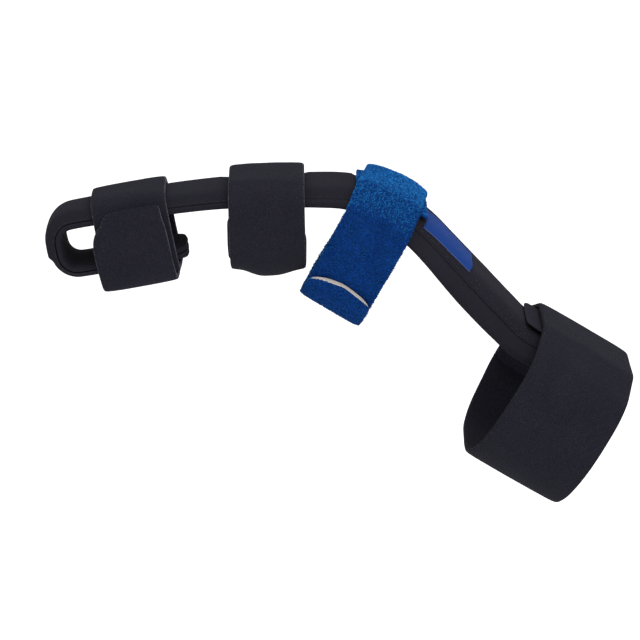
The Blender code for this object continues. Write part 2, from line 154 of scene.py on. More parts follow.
# The seam beside the sleeve: its place and lean on a flat run, and how they change over full wings.
SEAM_MARGIN = 0.008
SEAM_REACH = 0.00055
SEAM_REACH_WINGS = 0.00060
SEAM_HEIGHT = 0.00042
SEAM_DROP_WINGS = 0.00100
SEAM_LEAN = 1.6
SEAM_LEAN_WINGS = 0.4
STITCH_SHARE = 0.62
STITCH_WIDTH = 0.00030

# LOOP_LIGHT is the loops' lightest tone, given mostly to loops that face up as painted light from above.
LOOP_LIGHT = (0.020, 0.235, 0.66)
LABEL_HEM = (0.11, 0.13, 0.24)
SEAM_THREAD = (0.020, 0.0195, 0.025)
LINT_COLOUR = (0.16, 0.15, 0.15)

Light = namedtuple("Light", "name place aim size power")
LIGHTS = (
    Light("overhead_light", (0.3, 0.6, 2.6), (0.0, 0.5, 0.0), 5.0, 100.0),
    Light("front_light", (0.4, -1.6, 1.2), (-0.04, 0.0, 0.0), 1.2, 12.0),
)
SKY_STRENGTH = 0.72
LOWEST_POINT = -0.0735
CAMERA_ELEVATION = 16.5
CAMERA_TARGET = Vector((-0.04926, 0.0, -0.01331))


class FabricColours(bpy.types.PropertyGroup):
    """Colours of the fabrics."""

    velour: FloatVectorProperty(
        name="Black velour", description="Colour of the black straps",
        default=(0.0152, 0.0148, 0.0212), size=3, subtype="COLOR", min=0.0, max=1.0,
    )
    facing: FloatVectorProperty(
        name="Facing", description="Colour of the knitted facing on the splint",
        default=(0.0160, 0.0154, 0.0215), size=3, subtype="COLOR", min=0.0, max=1.0,
    )
    blue: FloatVectorProperty(
        name="Blue velour", description="Colour of the knuckle strap",
        default=(0.0040, 0.0310, 0.1620), size=3, subtype="COLOR", min=0.0, max=1.0,
    )
    label: FloatVectorProperty(
        name="Label", description="Colour of the woven label",
        default=(0.0135, 0.0430, 0.1900), size=3, subtype="COLOR", min=0.0, max=1.0,
    )
    core: FloatVectorProperty(
        name="Foam core", description="Colour of the foam that shows where a strap is cut",
        default=(0.5200, 0.4700, 0.4200), size=3, subtype="COLOR", min=0.0, max=1.0,
    )


class PileSizes(bpy.types.PropertyGroup):
    """Sizes of loops, stitches and lint."""

    loops: IntProperty(
        name="Loops", description="Number of loops on each quarter of the knuckle strap's pile",
        default=5000, min=0, max=6400,
    )
    loop_height: FloatProperty(
        name="Loop height", description="Height of a loop of the pile",
        default=0.00026, min=0.0001, max=0.002, unit="LENGTH",
    )
    stitch_length: FloatProperty(
        name="Stitch length", description="Length from one stitch to the next",
        default=0.0024, min=0.001, max=0.006, unit="LENGTH",
    )
    lint: IntProperty(
        name="Lint", description="Number of loose fibres on cut edges",
        default=1500, min=0, max=8000,
    )


class StageSizes(bpy.types.PropertyGroup):
    """Sizes of the stage."""

    camera_distance: FloatProperty(
        name="Camera distance", description="Distance from the camera to the orthosis",
        default=1.2, min=0.5, max=5.0, unit="LENGTH",
    )
    camera_lens: FloatProperty(
        name="Lens", description="Focal length in millimetres",
        default=202.5, min=35.0, max=400.0,
    )
    floor_drop: FloatProperty(
        name="Floor drop", description="Height of the worn orthosis over the floor",
        default=0.20, min=0.0, max=1.0, unit="LENGTH",
    )


def direction(heading):
    """Unit vector in the side view at an angle from the X axis."""
    return Vector((math.cos(heading), 0.0, math.sin(heading)))


def distance_of(name, along):
    """Distance along the splint of a place given as a share of a stretch."""
    distance = 0.0
    for stretch in SPLINT_LINE:
        if stretch.name == name:
            return distance + along * stretch.length
        distance += stretch.length
    raise KeyError(name)


def line_frame(distance):
    """Point, tangent and normal of the splint's line before it is moved to the hand seat."""
    point = Vector((0.0, 0.0, 0.0))
    heading = math.radians(180.0 + FINGERTIP_CLIMB)
    left = distance
    for stretch in SPLINT_LINE:
        step = min(left, stretch.length)
        turn = math.radians(stretch.turn) * step / stretch.length
        chord = step if abs(turn) < 1e-9 else step * math.sin(turn / 2) / (turn / 2)
        point += chord * direction(heading + turn / 2)
        heading += turn
        left -= step
        if left <= 1e-9:
            break
    tangent = direction(heading)
    return point, tangent, Vector((-tangent.z, 0.0, tangent.x))


def splint_frame(distance):
    """Point, tangent and normal of the splint's line in the frame."""
    seat, _, up = line_frame(distance_of("hand", 0.5))
    point, tangent, normal = line_frame(distance)
    return point - seat + HAND_PAD_THICKNESS * up, tangent, normal


def sleeve_half(distance):
    """Half width of the sleeve at a distance along the splint."""
    places = [distance_of(row.stretch, row.along) for row in SLEEVE_BREADTHS]
    return float(np.interp(distance, places, [row.half for row in SLEEVE_BREADTHS]))


def wing_share(distance):
    """How full the padding's wings are at a distance along the splint."""
    places = [distance_of(row.stretch, row.along) for row in SLEEVE_BREADTHS]
    return float(np.interp(distance, places, [row.wing for row in SLEEVE_BREADTHS]))


def splint_length():
    """Length of the whole splint along its line."""
    return sum(stretch.length for stretch in SPLINT_LINE)


def placed_vertices(piece, count=700):
    """Each vertex of a piece with the splint's nearest distance, point and normal, and its height over it."""
    distances = np.linspace(0, splint_length() - LINE_END_MARGIN, count).tolist()
    frames = [splint_frame(distance) for distance in distances]
    line = np.array([(spot.x, spot.z) for spot, _, _ in frames])
    placed = []
    for vertex in piece.data.vertices:
        away = line - np.array((vertex.co.x, vertex.co.z))
        nearest = int(np.einsum("ij,ij->i", away, away).argmin())
        spot, _, normal = frames[nearest]
        placed.append((vertex, distances[nearest], spot, normal, (vertex.co - spot).dot(normal)))
    return placed


def show_only(piece):
    """Select one piece and make it the active one."""
    bpy.ops.object.select_all(action="DESELECT")
    piece.select_set(True)
    bpy.context.view_layer.objects.active = piece


def merged_copy(node, name):
    """A copy of a CAD node with its loose triangles merged into quads."""
    piece = bpy.data.objects.new(name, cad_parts[node].data.copy())
    piece.data.name = name
    bpy.context.scene.collection.objects.link(piece)
    show_only(piece)
    piece.data.materials.clear()
    bpy.ops.object.mode_set(mode="EDIT")
    bpy.ops.mesh.select_all(action="SELECT")
    bpy.ops.mesh.remove_doubles(threshold=0.00001)
    limit = math.radians(50)
    bpy.ops.mesh.tris_convert_to_quads(face_threshold=limit, shape_threshold=limit)
    bpy.ops.mesh.select_all(action="DESELECT")
    bpy.ops.object.mode_set(mode="OBJECT")
    return piece


def subdivide_smooth(piece, levels):
    """Round a piece with an applied subdivision surface."""
    show_only(piece)
    modifier = piece.modifiers.new("rounding", "SUBSURF")
    modifier.levels = levels
    modifier.render_levels = levels
    bpy.ops.object.modifier_apply(modifier=modifier.name)
    bpy.ops.object.shade_smooth()


def roughen(piece, name, size, strength):
    """Low waves pressed into a soft piece with an applied displacement."""
    texture = bpy.data.textures.new(name, "CLOUDS")
    texture.noise_scale = size
    texture.noise_depth = 2
    show_only(piece)
    modifier = piece.modifiers.new(name, "DISPLACE")
    modifier.texture = texture
    modifier.texture_coords = "LOCAL"
    modifier.strength = strength
    modifier.mid_level = 0.5
    bpy.ops.object.modifier_apply(modifier=modifier.name)
    bpy.data.textures.remove(texture)


def crease_corners(piece, angle, amount):
    """Keep the corners of a piece when it is subdivided."""
    shape = bmesh.new()
    shape.from_mesh(piece.data)
    layer = shape.edges.layers.float.get("crease_edge") or shape.edges.layers.float.new("crease_edge")
    for edge in shape.edges:
        if len(edge.link_faces) == 2 and edge.calc_face_angle(0.0) > angle:
            edge[layer] = amount
    shape.to_mesh(piece.data)
    shape.free()


def flare_sleeve(piece):
    """Draw the sleeve's lower edges out over the padding, to which they are sewn."""
    for vertex, distance, _, normal, height in placed_vertices(piece):
        if not SLEEVE_EDGE_LOW < height < SLEEVE_EDGE_HIGH:
            continue
        wing = wing_share(distance)
        side = math.copysign(1.0, vertex.co.y)
        vertex.co += (FLARED_HEIGHT - FLARED_DROP * wing - height) * normal
        vertex.co.y += side * (FLARED_REACH + FLARED_REACH * wing)


def swell_sleeve(piece):
    """Let the sleeve swell where no strap presses on it."""
    for vertex, distance, _, normal, height in placed_vertices(piece):
        upper = min(1.0, max(0.0, (height - SWELL_FOOT) / SWELL_CLIMB))
        for swell in SLEEVE_SWELLS:
            inside = min(distance - swell.first, swell.last - distance) / SWELL_SLOPE
            share = min(1.0, max(0.0, inside))
            vertex.co += swell.rise * upper * share * share * (3 - 2 * share) * normal


def lay_on_sleeve(piece, sleeve, thickness):
    """Press a thin woven piece down on the sleeve, round its crown and edge."""
    shape = bmesh.new()
    shape.from_mesh(sleeve.data)
    tree = BVHTree.FromBMesh(shape)
    shape.free()
    placed = placed_vertices(piece)
    low = min(height for *_, height in placed)
    high = max(height for *_, height in placed)
    for vertex, _, spot, normal, height in placed:
        over = spot + Vector((0.0, vertex.co.y, 0.0)) + PRESS_HEIGHT * normal
        hit, _, _, _ = tree.ray_cast(over, -normal)
        if hit is not None:
            vertex.co = hit + (LABEL_CLEARANCE + thickness * (height - low) / (high - low)) * normal


def lift_end(piece, low_height, rise):
    """Lift the fingertip end of a strap off the sleeve, as a stiff strap stands over a slope."""
    axis = RING_AXES[piece.name]
    along = [vertex.co.dot(axis) for vertex in piece.data.vertices]
    first, last = min(along), max(along)
    top = max(vertex.co.z for vertex in piece.data.vertices)
    for vertex, place in zip(piece.data.vertices, along):
        share = (last - place) / (last - first)
        height = min(1.0, max(0.0, (vertex.co.z - low_height) / (top - low_height)))
        vertex.co.z += rise * share * height ** 2


def ease_corner(piece, low, high, repeats):
    """Smooth a cut corner of a strap that lies between two corners of a box."""
    show_only(piece)
    bpy.ops.object.mode_set(mode="EDIT")
    bpy.ops.mesh.select_mode(type="VERT")
    bpy.ops.mesh.select_all(action="DESELECT")
    bpy.ops.object.mode_set(mode="OBJECT")
    for vertex in piece.data.vertices:
        vertex.select = all(a < c < b for a, c, b in zip(low, vertex.co, high))
    bpy.ops.object.mode_set(mode="EDIT")
    bpy.ops.mesh.vertices_smooth(factor=0.5, repeat=repeats)
    bpy.ops.mesh.select_all(action="DESELECT")
    bpy.ops.object.mode_set(mode="OBJECT")


def finish_faces(piece, finish, chosen):
    """Give a second material to the faces of a piece for which chosen(face) is true."""
    piece.data.materials.append(finish)
    last = len(piece.data.materials) - 1
    for face in piece.data.polygons:
        if chosen(face):
            face.material_index = last


def dress(piece, finish, nodes=()):
    """Give a piece its material and its place on the body."""
    if not piece.data.materials:
        piece.data.materials.append(finish)
    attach(piece, BODY)
    if nodes:
        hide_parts(*nodes)
    return piece


class Shader:
    """A material's node tree with a Principled shader, built up a node at a time."""

    def __init__(self, name):
        self.material = bpy.data.materials.new(name)
        self.material.use_nodes = True
        self.tree = self.material.node_tree
        self.principled = self.tree.nodes["Principled BSDF"]
        self.place = self.tree.nodes.new("ShaderNodeTexCoord").outputs["Object"]

    def link(self, output, node, socket):
        self.tree.links.new(output, node.inputs[socket])

    def noise(self, scale, detail=2.0, roughness=0.5, place=None):
        node = self.tree.nodes.new("ShaderNodeTexNoise")
        node.inputs["Scale"].default_value = scale
        node.inputs["Detail"].default_value = detail
        node.inputs["Roughness"].default_value = roughness
        self.link(place or self.place, node, "Vector")
        return node.outputs["Fac"]

    def cells(self, scale, place=None):
        node = self.tree.nodes.new("ShaderNodeTexVoronoi")
        node.inputs["Scale"].default_value = scale
        self.link(place or self.place, node, "Vector")
        return node.outputs["Distance"]

    def bands(self, scale, axis, place=None, distortion=0.0):
        node = self.tree.nodes.new("ShaderNodeTexWave")
        node.bands_direction = axis
        node.inputs["Scale"].default_value = scale
        node.inputs["Distortion"].default_value = distortion
        self.link(place or self.place, node, "Vector")
        return node.outputs["Fac"]

    def ramp(self, value, stops):
        node = self.tree.nodes.new("ShaderNodeValToRGB")
        row = node.color_ramp.elements
        while len(row) < len(stops):
            row.new(0.5)
        for element, (at, colour) in zip(row, stops):
            element.position = at
            element.color = (*colour, 1.0)
        self.link(value, node, "Fac")
        return node.outputs["Color"]

    def mix(self, share, first, second, blend="MIX"):
        node = self.tree.nodes.new("ShaderNodeMix")
        node.data_type = "RGBA"
        node.blend_type = blend
        for socket, value in ((0, share), (6, first), (7, second)):
            if isinstance(value, (int, float)):
                node.inputs[socket].default_value = value
            elif isinstance(value, tuple):
                node.inputs[socket].default_value = (*value, 1.0)
            else:
                self.tree.links.new(value, node.inputs[socket])
        return node.outputs[2]

    def math(self, operation, first, second):
        node = self.tree.nodes.new("ShaderNodeMath")
        node.operation = operation
        for socket, value in ((0, first), (1, second)):
            if isinstance(value, (int, float)):
                node.inputs[socket].default_value = value
            else:
                self.tree.links.new(value, node.inputs[socket])
        return node.outputs[0]

    def turned(self, angles):
        node = self.tree.nodes.new("ShaderNodeMapping")
        node.inputs["Rotation"].default_value = angles
        self.link(self.place, node, "Vector")
        return node.outputs["Vector"]

    def colour(self, output):
        self.link(output, self.principled, "Base Color")

    def bump(self, height, strength, distance):
        node = self.tree.nodes.new("ShaderNodeBump")
        node.inputs["Strength"].default_value = strength
        node.inputs["Distance"].default_value = distance
        self.link(height, node, "Height")
        self.link(node.outputs["Normal"], self.principled, "Normal")

    def surface(self, roughness, sheen=0.0, sheen_roughness=0.5, tint=(1.0, 1.0, 1.0)):
        self.principled.inputs["Roughness"].default_value = roughness
        self.principled.inputs["Specular IOR Level"].default_value = 0.01
        self.principled.inputs["Sheen Weight"].default_value = sheen
        self.principled.inputs["Sheen Roughness"].default_value = sheen_roughness
        self.principled.inputs["Sheen Tint"].default_value = (*tint, 1.0)


def shade_of(colour, factor):
    """A colour made lighter or darker."""
    return tuple(min(1.0, channel * factor) for channel in colour)


def velour_material(name, base, sheen):
    """Brushed loop pile: fine speckle over broad, slightly worn patches."""
    made = Shader(name)
    fine = made.noise(2600.0, 3.0, 0.6)
    broad = made.noise(95.0, 2.0)
    pile = made.ramp(fine, ((0.30, shade_of(base, 0.62)), (0.55, base), (0.78, shade_of(base, 1.65))))
    worn = made.ramp(broad, ((0.35, (0.95, 0.95, 0.95)), (0.70, (1.06, 1.06, 1.06))))
    made.colour(made.mix(1.0, pile, worn, "MULTIPLY"))
    made.bump(made.math("ADD", fine, made.cells(3200.0)), 0.5, 0.00012)
    made.surface(0.95, sheen, 0.45)
    return made.material


def facing_material(name, base):
    """Knitted facing on foam: fine ribs with a little lint in them."""
    made = Shader(name)
    fine = made.noise(3000.0, 2.0, 0.6)
    knit = made.cells(2300.0)
    broad = made.noise(60.0, 3.0)
    cloth = made.ramp(fine, ((0.30, shade_of(base, 0.72)), (0.60, base), (0.85, shade_of(base, 1.45))))
    worn = made.ramp(broad, ((0.35, (0.94, 0.94, 0.94)), (0.72, (1.06, 1.06, 1.06))))
    made.colour(made.mix(1.0, cloth, worn, "MULTIPLY"))
    made.bump(made.math("ADD", fine, knit), 0.4, 0.0001)
    made.surface(0.90, 0.010, 0.5)
    return made.material


def blue_material(name, base):
    """Ground of the blue pile, under its loops."""
    made = Shader(name)
    fine = made.noise(2100.0, 3.0, 0.65)
    broad = made.noise(120.0, 2.0)
    pile = made.ramp(fine, ((0.32, shade_of(base, 0.55)), (0.55, base), (0.74, shade_of(base, 1.9))))
    worn = made.ramp(broad, ((0.35, (0.85, 0.85, 0.88)), (0.70, (1.18, 1.18, 1.12))))
    made.colour(made.mix(1.0, pile, worn, "MULTIPLY"))
    made.bump(made.math("ADD", fine, made.cells(2600.0)), 0.7, 0.0002)
    made.surface(0.95, 0.06, 0.4, (0.15, 0.50, 1.0))
    return made.material


def loop_material(name, dark, light):
    """Yarn of the blue loops, each with its own tone: random, and lighter on loops that face up as painted
    light from above.
    """
    made = Shader(name)
    tone = made.tree.nodes.new("ShaderNodeAttribute")
    tone.attribute_name = "tone"
    made.colour(made.ramp(tone.outputs["Fac"], ((0.0, dark), (1.0, light))))
    made.bump(made.noise(9000.0), 0.2, 0.00002)
    made.surface(0.7, 0.12, 0.4, (0.25, 0.65, 1.0))
    return made.material


def label_material(name, base, heading):
    """Woven satin label with fine warp and weft."""
    made = Shader(name)
    along = made.turned((0.0, heading, 0.0))
    weft = made.bands(900.0, "X", along, 0.4)
    warp = made.bands(700.0, "Y", along, 0.4)
    threads = made.math("MULTIPLY", weft, warp)
    made.colour(made.ramp(threads, ((0.0, shade_of(base, 0.7)), (0.5, base), (1.0, shade_of(base, 1.7)))))
    made.bump(threads, 0.5, 0.00008)
    made.surface(0.6)
    return made.material


def thread_material(name, base):
    """Twisted sewing thread."""
    made = Shader(name)
    twist = made.noise(5000.0, 1.0)
    made.colour(made.ramp(twist, ((0.3, shade_of(base, 0.7)), (0.7, shade_of(base, 1.4)))))
    made.bump(twist, 0.4, 0.00004)
    made.surface(0.6, 0.1)
    return made.material


def cut_edge_material(name, base):
    """Heat-cut edge of a black strap: lighter, partly as a real cut edge and partly as a painted highlight
    along the strap's sides, broken up where its fibres stand.
    """
    made = Shader(name)
    specks = made.noise(1500.0, 3.0, 0.7)
    broad = made.noise(160.0, 2.0)
    tones = ((0.40, 1.6), (0.60, 4.0), (0.75, 9.0))
    rim = made.ramp(specks, [(at, shade_of(base, factor)) for at, factor in tones])
    fray_and_highlight_share = made.ramp(broad, ((0.35, (0.1, 0.1, 0.1)), (0.65, (1.0, 1.0, 1.0))))
    made.colour(made.mix(fray_and_highlight_share, base, rim))
    made.bump(specks, 0.6, 0.0001)
    made.surface(0.9, 0.05)
    return made.material


def core_material(name, base):
    """Cut foam: pale, with open cells."""
    made = Shader(name)
    cells = made.cells(5000.0)
    made.colour(made.ramp(cells, ((0.0, shade_of(base, 0.6)), (0.45, base), (1.0, shade_of(base, 1.3)))))
    made.bump(cells, 0.6, 0.00008)
    made.surface(0.95)
    return made.material


def material(name):
    """One of the orthosis's materials, made the first time it is asked for."""
    found = bpy.data.materials.get(name)
    if found:
        return found
    colours = bpy.context.scene.orthosis_colours
    blue = tuple(colours.blue)
    makers = {
        "velour": lambda: velour_material(name, tuple(colours.velour), 0.012),
        "facing": lambda: facing_material(name, tuple(colours.facing)),
        "blue_ground": lambda: blue_material(name, blue),
        "blue_loops": lambda: loop_material(name, shade_of(blue, 0.8), LOOP_LIGHT),
        "label_satin": lambda: label_material(name, tuple(colours.label), math.radians(LABEL_TURN)),
        "label_edge": lambda: thread_material(name, LABEL_HEM),
        "thread": lambda: thread_material(name, SEAM_THREAD),
        "cut_edge_and_highlight": lambda: cut_edge_material(name, tuple(colours.velour)),
        "foam_core": lambda: core_material(name, tuple(colours.core)),
        "lint": lambda: thread_material(name, LINT_COLOUR),
    }
    return makers[name]()


def surface_samples(piece, count, seed, keep):
    """Random points on a piece's first finish with their normals, weighted by keep(centres, normals)."""
    mesh = piece.data
    mesh.calc_loop_triangles()
    first_finish = np.array([triangle.material_index == 0 for triangle in mesh.loop_triangles])
    places = np.empty(len(mesh.vertices) * 3)
    mesh.vertices.foreach_get("co", places)
    places = places.reshape(-1, 3)
    corners = np.empty(len(mesh.loop_triangles) * 3, int)
    mesh.loop_triangles.foreach_get("vertices", corners)
    triangles = places[corners.reshape(-1, 3)]
    crosses = np.cross(triangles[:, 1] - triangles[:, 0], triangles[:, 2] - triangles[:, 0])
    doubled = np.linalg.norm(crosses, axis=1)
    normals = crosses / np.maximum(doubled, 1e-15)[:, None]
    weights = doubled * first_finish * keep(triangles.mean(1), normals)
    chance = np.random.default_rng(seed)
    chosen = chance.choice(len(weights), count, p=weights / weights.sum())
    first, second = chance.random((2, count, 1))
    flip = first + second > 1
    first = np.where(flip, 1 - first, first)
    second = np.where(flip, 1 - second, second)
    a, b, c = triangles[chosen].transpose(1, 0, 2)
    return a + first * (b - a) + second * (c - a), normals[chosen], chance


def open_air(points, normals, pieces, reach):
    """Which points have nothing over them within reach."""
    trees = []
    for piece in pieces:
        shape = bmesh.new()
        shape.from_mesh(piece.data)
        trees.append(BVHTree.FromBMesh(shape))
        shape.free()
    free = []
    for point, normal in zip(points, normals):
        start = Vector(point) + 0.00005 * Vector(normal)
        free.append(all(tree.ray_cast(start, Vector(normal), reach)[0] is None for tree in trees))
    return np.array(free)


def planted(name, seedling, points, normals, chance, size, lean, finish):
    """Copies of one small shape planted on points, each with its own turn, lean, size and tone; the tone is
    random, and made lighter on copies that face up as painted light from above.
    """
    count = len(points)
    shape = np.array([v.co[:] for v in seedling.data.vertices])
    faces = [tuple(p.vertices) for p in seedling.data.polygons]
    up = normals + lean * chance.normal(size=(count, 3))
    up /= np.linalg.norm(up, axis=1)[:, None]
    side = np.cross(up, chance.normal(size=(count, 3)))
    side /= np.linalg.norm(side, axis=1)[:, None]
    other = np.cross(up, side)
    scale = size * chance.uniform(0.7, 1.35, (count, 1, 1))
    basis = np.stack((side, other, up), axis=1) * scale
    vertices = np.einsum("vk,nkc->nvc", shape, basis) + points[:, None, :]
    mesh = bpy.data.meshes.new(name)
    step = len(shape)
    rows = [tuple(i + k * step for i in face) for k in range(count) for face in faces]
    mesh.from_pydata(vertices.reshape(-1, 3).tolist(), [], rows)
    tones = mesh.attributes.new("tone", "FLOAT", "POINT")
    # Copies that face up get a lighter tone: painted light from above, laid over the random tone.
    lit_from_above = np.clip((normals[:, 2] - 0.05) / 0.5, 0.0, 1.0)
    tone = chance.random(count) ** 1.3 * (0.30 + 0.70 * lit_from_above)
    tones.data.foreach_set("value", np.repeat(tone, step))
    mesh.shade_smooth()
    piece = bpy.data.objects.new(name, mesh)
    bpy.context.scene.collection.objects.link(piece)
    mesh.materials.append(finish)
    bpy.data.objects.remove(seedling, do_unlink=True)
    return piece


def make_loop():
    """One loop of the pile: half a ring of yarn that stands on its two ends."""
    bpy.ops.object.select_all(action="DESELECT")
    bpy.ops.mesh.primitive_torus_add(
        major_segments=6, minor_segments=3, major_radius=1.0, minor_radius=0.25, rotation=(math.pi / 2, 0, 0)
    )
    bpy.ops.object.transform_apply(location=True, rotation=True, scale=True)
    bpy.ops.object.mode_set(mode="EDIT")
    bpy.ops.mesh.select_all(action="SELECT")
    bpy.ops.mesh.bisect(plane_co=(0, 0, -0.1), plane_no=(0, 0, 1), clear_inner=True, use_fill=True)
    bpy.ops.mesh.select_all(action="DESELECT")
    bpy.ops.object.mode_set(mode="OBJECT")
    return bpy.context.active_object


def make_fibre():
    """One loose fibre: a thin three-sided cone, its base under the surface."""
    bpy.ops.object.select_all(action="DESELECT")
    bpy.ops.mesh.primitive_cone_add(vertices=3, radius1=0.10, radius2=0.0, depth=1.2, location=(0, 0, 0.5))
    bpy.ops.object.transform_apply(location=True, rotation=True, scale=True)
    return bpy.context.active_object


def make_stitch(length, width):
    """One stitch: a short length of thread, its ends going down into the cloth."""
    bpy.ops.object.select_all(action="DESELECT")
    bpy.ops.mesh.primitive_uv_sphere_add(segments=8, ring_count=6, radius=1.0)
    stitch = bpy.context.active_object
    stitch.scale = (length / 2, width / 2, width * 0.42)
    bpy.ops.object.transform_apply(location=False, rotation=False, scale=True)
    bpy.ops.object.shade_smooth()
    return stitch


def sewn_row(name, places, length, width):
    """Stitches along places, given as point, direction and normal."""
    stitch = make_stitch(length, width)
    copies = [stitch]
    for _ in places[1:]:
        copy = stitch.copy()
        copy.data = stitch.data.copy()
        bpy.context.scene.collection.objects.link(copy)
        copies.append(copy)
    for copy, (point, along, up) in zip(copies, places):
        side = up.cross(along).normalized()
        along = side.cross(up).normalized()
        turn = Matrix((along, side, up.normalized())).transposed().to_4x4()
        copy.matrix_world = Matrix.Translation(point) @ turn
    bpy.ops.object.select_all(action="DESELECT")
    for copy in copies:
        copy.select_set(True)
    bpy.context.view_layer.objects.active = stitch
    bpy.ops.object.join()
    bpy.ops.object.transform_apply(location=True, rotation=True, scale=True)
    stitch.name = name
    stitch.data.name = name
    return stitch


class ORTHOSIS_OT_padding(bpy.types.Operator):
    """Make the padding with its wings, and the sleeve that holds the stay"""

    bl_idname = "orthosis.padding"
    bl_label = "Padding and Sleeve"

    def execute(self, context):
        for node, name, slot, waves in (
            ("splint_pad", "padding", "black_foam", 0.00022),
            ("stay_sleeve", "sleeve", "black_laminate", 0.00016),
        ):
            piece = merged_copy(node, name)
            if name == "sleeve":
                flare_sleeve(piece)
            subdivide_smooth(piece, 2)
            if name == "sleeve":
                swell_sleeve(piece)
            roughen(piece, name + "_waves", PADDING_WAVE_SIZE, waves)
            dress(piece, material("facing"), (node,))
        return {"FINISHED"}


class ORTHOSIS_OT_straps(bpy.types.Operator):
    """Make the wrapped straps and the patches they are sewn on"""

    bl_idname = "orthosis.straps"
    bl_label = "Straps and Patches"

    def execute(self, context):
        for node, name, finish, slot, crease in (
            ("knuckle_patch", "knuckle_tab", "blue_ground", "blue_velour", 0.55),
            ("wrist_patch", "wrist_tab", "velour", "black_velour", 0.10),
        ):
            piece = merged_copy(node, name)
            crease_corners(piece, math.radians(CREASE_ANGLE), crease)
            subdivide_smooth(piece, 2)
            dress(piece, material(finish), (node,))
        for node, name, finish, slot, flat, under in STRAPS:
            piece = merged_copy(node, name)
            subdivide_smooth(piece, 2)
            roughen(piece, name + "_waves", STRAP_WAVE_SIZE, STRAP_WAVE_STRENGTH)
            if name == "fingertip_wrap":
                ease_corner(piece, *FINGERTIP_CORNER, FINGERTIP_CORNER_REPEATS)
            if name == "middle_wrap":
                lift_end(piece, MIDDLE_LIFT_FROM, MIDDLE_LIFT)
            dress(piece, material(finish), (node,))
            axis = RING_AXES[name]
            if name == "knuckle_wrap":
                up = Vector((-axis.z, 0.0, axis.x))
                finish_faces(
                    piece, material("foam_core"),
                    lambda f: f.center.y < FLAP_CUT_SIDE
                    and FLAP_CUT_LOW < f.center.z < FLAP_CUT_HIGH and f.normal.dot(up) > 0.6,
                )
            elif name != "wrist_wrap":
                # The straps' side faces get the lighter edge colour: a cut edge and a painted highlight.
                finish_faces(piece, material("cut_edge_and_highlight"), lambda f: abs(f.normal.dot(axis)) > 0.8)
        return {"FINISHED"}


class ORTHOSIS_OT_pile(bpy.types.Operator):
    """Grow the loops on the blue strap and its tab"""

    bl_idname = "orthosis.pile"
    bl_label = "Pile"

    def execute(self, context):
        sizes = context.scene.orthosis_pile
        wrap = bpy.data.objects["knuckle_wrap"]
        tab = bpy.data.objects["knuckle_tab"]
        middle = sum((v.co for v in wrap.data.vertices), Vector()) / len(wrap.data.vertices)
        away = np.array((0.0, 1.0, 1.0))

        def outward(places, normals):
            return np.einsum("ij,ij->i", (places - np.array(middle)) * away, normals) > 0

        def crown(places, normals):
            return outward(places, normals) * np.clip((normals[:, 2] - 0.15) / 0.5, 0.0, 1.0)

        def sides(places, normals):
            return outward(places, normals) * np.clip((0.75 - normals[:, 2]) / 0.4, 0.0, 1.0)

        def half(part, side):
            return lambda places, normals: part(places, normals) * (side * (places[:, 1] - middle.y) > 0)

        def tab_top(places, normals):
            return normals[:, 2] > 0.2

        for base, name, keep, share, seed in (
            (wrap, "crown_pile_near", half(crown, -1), 1.0, 3),
            (wrap, "crown_pile_far", half(crown, 1), 0.8, 6),
            (wrap, "side_pile_near", half(sides, -1), 1.0, 4),
            (wrap, "side_pile_far", half(sides, 1), 0.8, 7),
            (tab, "tab_pile", tab_top, 0.22, 5),
        ):
            limit = int(sizes.loops * share)
            points, normals, chance = surface_samples(base, int(limit * SPARE_LOOPS), seed, keep)
            free = open_air(points, normals, (wrap, tab), LOOP_AIR)
            points, normals = points[free][:limit], normals[free][:limit]
            yarn = material("blue_loops")
            piece = planted(name, make_loop(), points, normals, chance, sizes.loop_height, LOOP_LEAN, yarn)
            dress(piece, yarn)
        return {"FINISHED"}


class ORTHOSIS_OT_lint(bpy.types.Operator):
    """Leave lint on the black straps' cut edges and on the sleeve's ridge over the hand"""

    bl_idname = "orthosis.lint"
    bl_label = "Lint"

    def execute(self, context):
        count = context.scene.orthosis_pile.lint

        def rim(wrap):
            axis = np.array(RING_AXES[wrap])
            low, high = RIM_SLANTS
            return lambda places, normals: (np.abs(normals @ axis) > low) & (np.abs(normals @ axis) < high)

        def ridge(places, normals):
            over_hand = (places[:, 0] > RIDGE_RUN[0]) & (places[:, 0] < RIDGE_RUN[1])
            return over_hand & (np.abs(places[:, 1]) > RIDGE_SIDE) & (normals[:, 2] > 0.3)

        for base, name, keep, share, seed in (
            ("fingertip_wrap", "fingertip_lint", rim("fingertip_wrap"), 0.6, 11),
            ("middle_wrap", "middle_lint", rim("middle_wrap"), 1.0, 12),
            ("wrist_wrap", "wrist_lint", rim("wrist_wrap"), 0.3, 13),
            ("sleeve", "sleeve_lint", ridge, 0.10, 14),
        ):
            carrier = bpy.data.objects[base]
            points, normals, chance = surface_samples(carrier, int(count * share), seed, keep)
            free = open_air(points, normals, (carrier,), FIBRE_AIR)
            points, normals = points[free], normals[free]
            fluff = material("lint")
            piece = planted(name, make_fibre(), points, normals, chance, FIBRE_SIZE, FIBRE_LEAN, fluff)
            dress(piece, fluff)
        return {"FINISHED"}


class ORTHOSIS_OT_label(bpy.types.Operator):
    """Make the plain woven label with its paler hem"""

    bl_idname = "orthosis.label"
    bl_label = "Label"

    def execute(self, context):
        piece = merged_copy("woven_label", "label")
        crease_corners(piece, math.radians(CREASE_ANGLE), 1.0)
        subdivide_smooth(piece, 3)
        lay_on_sleeve(piece, bpy.data.objects["sleeve"], LABEL_THICKNESS)
        piece.data.materials.append(material("label_satin"))
        _, _, up = splint_frame(distance_of("hand", 0.5))
        finish_faces(piece, material("label_edge"), lambda f: abs(f.normal.dot(up)) < 0.5)
        dress(piece, material("label_satin"), ("woven_label",))
        return {"FINISHED"}


